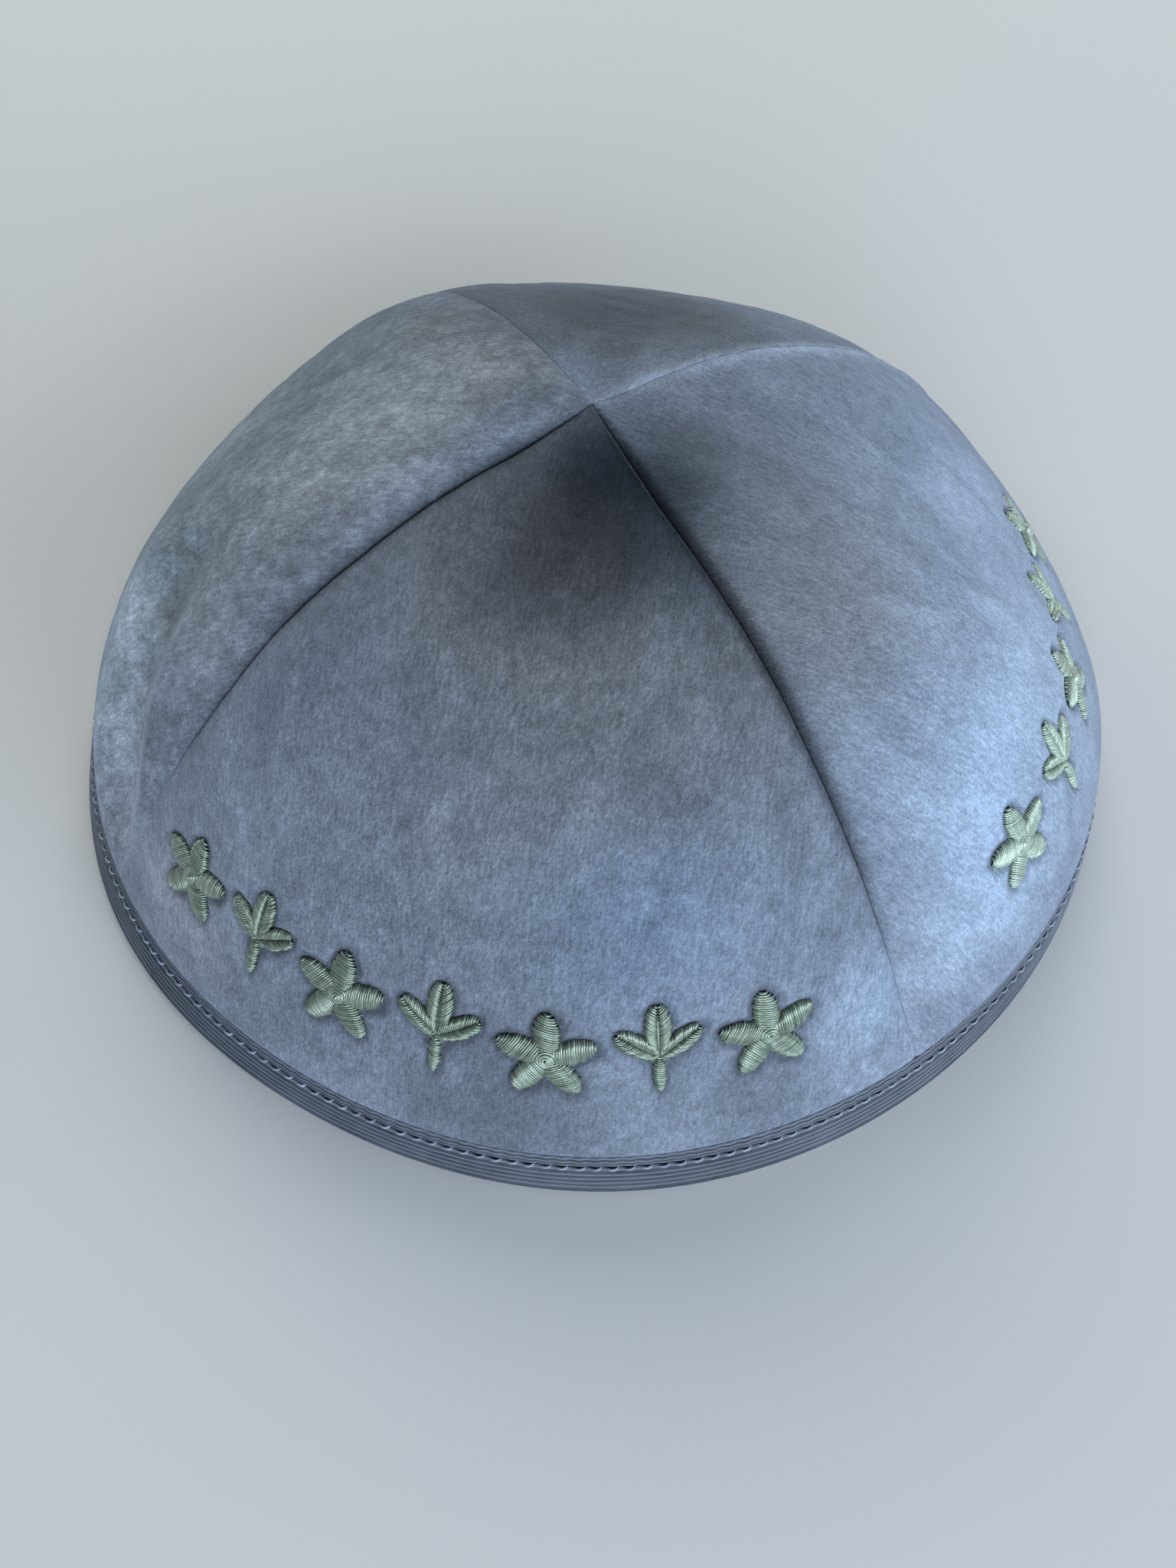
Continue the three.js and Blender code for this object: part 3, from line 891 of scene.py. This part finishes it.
def ribbon_piece(material):
    depth, up, along, face = ribbon_outline().T
    azimuth = np.arange(RIBBON["steps"]) * 360 / RIBBON["steps"]
    azimuth, depth = np.meshgrid(azimuth, depth, indexing="ij")
    up, along, face = (np.broadcast_to(x, depth.shape) for x in (up, along, face))
    sunk = ribbon_relief(azimuth, up, along, face)
    stretch_around, stretch_up = SWAY_STRETCH
    sway_place = np.stack([azimuth * stretch_around, 0 * azimuth, up * stretch_up], -1)
    sway = waves(sway_place, **SWAY) * smooth(up, *SWAY_FADE)
    points = ribbon_point(azimuth, up + sway, depth + sunk)
    points[..., 2] = np.maximum(points[..., 2], 0)
    uv = np.stack([np.radians(azimuth) * RIBBON_RADIUS, along], -1)
    steps, count = depth.shape
    r, c = np.meshgrid(np.arange(steps), np.arange(count), indexing="ij")
    corners = [r * count + c, (r + 1) % steps * count + c]
    corners += [(r + 1) % steps * count + (c + 1) % count, r * count + (c + 1) % count]
    faces = np.stack(corners, -1).reshape(-1, 4).tolist()
    piece = new_object("ribbon", points.reshape(-1, 3), faces, [material], uv=uv.reshape(-1, 2))
    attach(piece, "root")
    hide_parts("binding")
    return piece


# Threads
def tube(path, normal, radius):
    """Rings of points around a path, narrower at its ends. The section is flattened along normal."""
    along = np.gradient(path, axis=0)
    along /= np.linalg.norm(along, axis=1, keepdims=True)
    aside = np.cross(along, normal)
    aside /= np.linalg.norm(aside, axis=1, keepdims=True)
    up = np.cross(aside, along)
    angles = np.arange(THREAD["sides"])[None, :, None] * 2 * np.pi / THREAD["sides"]
    taper = np.ones(len(path))
    taper[[0, -1]] = THREAD["tip"]
    ring = np.cos(angles) * aside[:, None] + THREAD["flat"] * np.sin(angles) * up[:, None]
    return path[:, None] + radius * taper[:, None, None] * ring


class Bundle:
    """Gathers many threads into one mesh."""

    def __init__(self):
        self.points, self.faces, self.shades, self.count = [], [], [], 0

    def add_tube(self, rings, shade):
        steps, sides, _ = rings.shape
        start = self.count
        self.points.append(rings.reshape(-1, 3))
        self.faces += [face[::-1] for face in grid_faces(steps, sides, start, around=True)]
        self.faces.append([start + i for i in range(sides)])
        self.faces.append([start + (steps - 1) * sides + i for i in range(sides)][::-1])
        self.shades.append(np.full(steps * sides, shade))
        self.count += steps * sides

    def add_grid(self, points, faces, shade):
        self.faces += [[self.count + f for f in face] for face in faces]
        self.points.append(points)
        self.shades.append(np.full(len(points), shade))
        self.count += len(points)

    def made(self, name, material):
        shade = np.concatenate(self.shades)
        return new_object(name, np.vstack(self.points), self.faces, [material], shade=shade)


def ribbon_stitches(material):
    bundle = Bundle()
    draw = np.random.default_rng(STITCH["seed"])
    middle = (np.arange(STITCH["count"]) + 0.5) * 360 / STITCH["count"]
    middle = np.repeat(middle, 2)[:, None]
    side = np.tile([1, -1], STITCH["count"])[:, None]
    stray = {key: draw.normal(0, size, middle.shape) for key, size in STITCH_STRAYS.items()}
    share = np.linspace(-1, 1, 7)
    half = np.degrees(STITCH["length"] / 2 / RIBBON_RADIUS)
    azimuth = middle + stray["azimuth"] + half * share
    tilt = STITCH["slant"] * side + stray["tilt"]
    height = STITCH["height"] + stray["height"] + tilt * share
    dive = STITCH["dives"] * np.abs(share) ** 3
    whole = RIBBON["front"] + RIBBON["slot"] + RIBBON["back"]
    paths = ribbon_point(azimuth, height, np.where(side == 1, dive, whole - dive))
    normals = outward(azimuth, height) * side[..., None]
    for path, normal, shade in zip(paths, normals, draw.uniform(0, 1, len(paths))):
        bundle.add_tube(tube(path, normal, STITCH["radius"]), shade)
    piece = bundle.made("ribbon_stitches", material)
    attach(piece, "root")
    return piece


def motif_surface(azimuth, height, aside, up, lift):
    """A point of a motif, given in mm to its right and up from its heart, and the way out there."""
    reach = apex_distance(azimuth, height)
    places = azimuth + np.degrees(np.asarray(aside) / reach)
    levels = height + np.asarray(up)
    return cloth_point(places, levels, np.asarray(lift) - DENT["depth"]), outward(places, levels)


def lobe_threads(lobe, draw):
    """The threads of one lobe, each as its two ends (aside, up) in mm and the height of its crown."""
    length, half_length, half_width = lobe["length"], lobe["length"] / 2, lobe["width"] / 2
    angle = math.radians(lobe["angle"])
    ahead = np.array([math.cos(angle), math.sin(angle)])
    sideways = np.array([-math.sin(angle), math.cos(angle)])
    across = lobe["laid"] == "across"
    lean = math.tan(math.radians(LAID["slant"] if across else VEINED["slant"]))
    count = int(length / LAID["pitch"])
    for i in range(count):
        place = length * (i + 0.5) / count
        half = half_width * math.sqrt(max(1 - ((place - half_length) / half_length) ** 2, LAID["narrowest"]))
        crown = LAID["crown"] * math.sqrt(half / half_width)
        stray = draw.uniform(*STRAYS["ends"], 2)
        if across:
            left = (place + half * lean) * ahead + (half + stray[0]) * sideways
            right = (place - half * lean) * ahead - (half + stray[1]) * sideways
            yield left, right, crown
        else:
            forward = half * lean * VEINED["lean"]
            vein = max(place - forward, VEINED["start"]) * ahead
            tip = min(place + forward, length * VEINED["end"]) * ahead
            yield vein, tip + (half + stray[0]) * sideways, crown * VEINED["crown"]
            yield vein, tip - (half + stray[1]) * sideways, crown * VEINED["crown"]


def add_pad(bundle, lobes, azimuth, height, thread_painted_light):
    """A low pad under a motif's threads."""
    directions = np.arange(0, 360, PAD_STEP)
    outline = motif_reach(lobes, directions) * PAD_SHARE
    shares, lifts = (np.array(column)[:, None] for column in zip(*PAD_RINGS))
    aside = shares * outline * np.cos(np.radians(directions))
    up = shares * outline * np.sin(np.radians(directions))
    pad, _ = motif_surface(azimuth, height, aside, up, np.repeat(lifts, directions.size, 1))
    faces = grid_faces(len(PAD_RINGS), directions.size, around=True)
    last = (len(PAD_RINGS) - 1) * directions.size
    faces.append(list(range(directions.size))[::-1])
    faces.append([last + i for i in range(directions.size)])
    bundle.add_grid(pad.reshape(-1, 3), faces, thread_painted_light)


def add_threads(bundle, lobes, azimuth, height, thread_painted_light, draw):
    """The threads of all of a motif's lobes, each an arch whose ends are buried in the velvet."""
    share = np.linspace(0, 1, THREAD["points"])
    arch = np.sqrt(np.maximum(1 - np.abs(2 * share - 1) ** LAID["arch"], 0.0))
    threads = [thread for lobe in lobes for thread in lobe_threads(lobe, draw)]
    start, end, crown = (np.array(column) for column in zip(*threads))
    lines = start[:, None] + (end - start)[:, None] * share[:, None]
    crown = crown[:, None] + draw.uniform(*STRAYS["height"], (len(threads), 1))
    lift = LAID["buried"] + (crown - LAID["buried"]) * arch
    paths, normals = motif_surface(azimuth, height, lines[..., 0], lines[..., 1], lift)
    for path, normal in zip(paths, normals):
        radius = THREAD["radius"] * draw.uniform(*STRAYS["radius"])
        # Each thread's shade strays at random about its row's painted light
        bundle.add_tube(tube(path, normal, radius), thread_painted_light + draw.uniform(*STRAYS["shade"]))


def add_knot(bundle, azimuth, height, thread_painted_light):
    """A knot at a motif's heart: a thread wound from its rim to its middle."""
    wound = np.linspace(0, 1, KNOT["points"])
    around = wound * 2 * np.pi * KNOT["turns"]
    spread = HEART * KNOT["spread"] * (1 - KNOT["tightens"] * wound)
    lift = KNOT["lift"] + KNOT["rise"] * np.sqrt(wound)
    aside, up = spread * np.cos(around), spread * np.sin(around)
    path, normal = motif_surface(azimuth, height, aside, up, lift)
    bundle.add_tube(tube(path, normal, KNOT["radius"]), thread_painted_light + KNOT["paler"])


def motif_piece(name, lobes, azimuth, height, thread_painted_light, seed, material):
    bundle = Bundle()
    add_pad(bundle, lobes, azimuth, height, thread_painted_light)
    add_threads(bundle, lobes, azimuth, height, thread_painted_light, np.random.default_rng(seed))
    if lobes is ROSETTE:
        add_knot(bundle, azimuth, height, thread_painted_light)
    piece = bundle.made(name.replace("motif", "stitched"), material)
    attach(piece, "root")
    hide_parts(name)
    return piece


# Everything together
velvet, backing, ribbon = velvet_material(), backing_material(), ribbon_material()
green = thread_material(
    "green_thread", srgb(84, 101, 87), srgb(170, 190, 176), roughness=0.26, shine=1.0, metallic=0.35
)
grey = thread_material(
    "ribbon_thread", srgb(104, 115, 134), srgb(148, 160, 182), roughness=0.4, shine=0.5, metallic=0.0
)

for gore_row in GORES:
    gore = gore_piece(*gore_row, [velvet, backing])
band = ribbon_piece(ribbon)
ribbon_stitches(grey)
for order, (motif_name, *motif_row) in enumerate(motif_places()):
    motif_piece(motif_name, *motif_row, MOTIF_SEED + order, green)

# The stage, in metres. Soft lights stand low around the cap: one row for each, with its azimuth, elevation,
# watts and colour. Around them stands a pale wall, which grows darker overhead.
FLOOR_RADIUS = 1.1
LIGHT_SIZE, LIGHT_DISTANCE, LIGHT_AIM = 0.7, 1.2, 0.02
LIGHTS = [
    ("front_light", 270, 16, 9.8, (0.92, 1.0, 1.1)),
    ("front_right_light", 315, 16, 8.8, (0.88, 1.01, 1.13)),
    ("right_light", 0, 16, 3.9, (0.87, 1.02, 1.14)),
    ("back_light", 90, 40, 7.0, (1.01, 1.01, 0.98)),
    ("back_left_light", 135, 16, 4.3, (0.97, 1.07, 0.94)),
]
WALL_COLOUR = (0.93, 0.97, 1.0, 1)
WALL_LIGHT, OVERHEAD_LIGHT = 0.5, 0.02
WALL_FADE = (0.12, 0.6)


def floor():
    n = Nodes("floor")
    n.shader.inputs["Base Color"].default_value = srgb(212, 214, 217)
    n.shader.inputs["Roughness"].default_value = 0.9
    n.shader.inputs["Specular IOR Level"].default_value = 0.1
    bpy.ops.mesh.primitive_circle_add(
        vertices=180, radius=FLOOR_RADIUS, fill_type="NGON", location=(0, 0, 0)
    )
    plane = bpy.context.object
    plane.name = "floor"
    plane.data.materials.append(n.material)
    plane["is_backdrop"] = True


def area_light(target, name, azimuth, elevation, power, colour):
    data = bpy.data.lights.new(name, "AREA")
    data.size = LIGHT_SIZE
    data.energy = power
    data.color = colour
    lamp = bpy.data.objects.new(name, data)
    around, up = math.radians(azimuth), math.radians(elevation)
    lamp.location = (
        LIGHT_DISTANCE * math.cos(up) * math.cos(around),
        LIGHT_DISTANCE * math.cos(up) * math.sin(around),
        LIGHT_DISTANCE * math.sin(up) + LIGHT_AIM,
    )
    bpy.context.scene.collection.objects.link(lamp)
    aim = lamp.constraints.new("TRACK_TO")
    aim.target = target
    aim.track_axis, aim.up_axis = "TRACK_NEGATIVE_Z", "UP_Y"


def pale_wall():
    world = bpy.data.worlds.new("studio")
    bpy.context.scene.world = world
    world.use_nodes = True
    nodes, links = world.node_tree.nodes, world.node_tree.links
    background = nodes["Background"]
    background.inputs["Color"].default_value = WALL_COLOUR
    way = nodes.new("ShaderNodeTexCoord")
    height_of_way = nodes.new("ShaderNodeSeparateXYZ")
    wall = nodes.new("ShaderNodeMapRange")
    wall.inputs["From Min"].default_value, wall.inputs["From Max"].default_value = WALL_FADE
    wall.inputs["To Min"].default_value = WALL_LIGHT
    wall.inputs["To Max"].default_value = OVERHEAD_LIGHT
    links.new(way.outputs["Generated"], height_of_way.inputs[0])
    links.new(height_of_way.outputs["Z"], wall.inputs["Value"])
    links.new(wall.outputs["Result"], background.inputs["Strength"])


floor()
light_target = bpy.data.objects.new("light_target", None)
light_target.location = (0, 0, LIGHT_AIM)
bpy.context.scene.collection.objects.link(light_target)
for light_row in LIGHTS:
    area_light(light_target, *light_row)
pale_wall()
bpy.context.scene.view_settings.view_transform = "Standard"

# The camera stands close above the front of the cap and looks down and back, without roll
CAMERA_PLACE = (-0.8, -113.9, 159.3)
CAMERA_DOWN = 59.34
SENSOR, LENS = 36.0, 27.04
NEAREST = 0.005
camera_data = bpy.data.cameras.new("camera")
camera_data.sensor_fit = "VERTICAL"
camera_data.sensor_height = SENSOR
camera_data.sensor_width = SENSOR
camera_data.lens = LENS
camera_data.clip_start = NEAREST
camera = bpy.data.objects.new("camera", camera_data)
camera.location = tuple(c * METRES for c in CAMERA_PLACE)
camera.rotation_euler = (math.radians(90 - CAMERA_DOWN), 0, 0)
bpy.context.scene.collection.objects.link(camera)
bpy.context.scene.camera = camera

boxes = {"cad": cad_box, "visual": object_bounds()}
{name: [list(map(float, corner)) for corner in box] for name, box in boxes.items()}
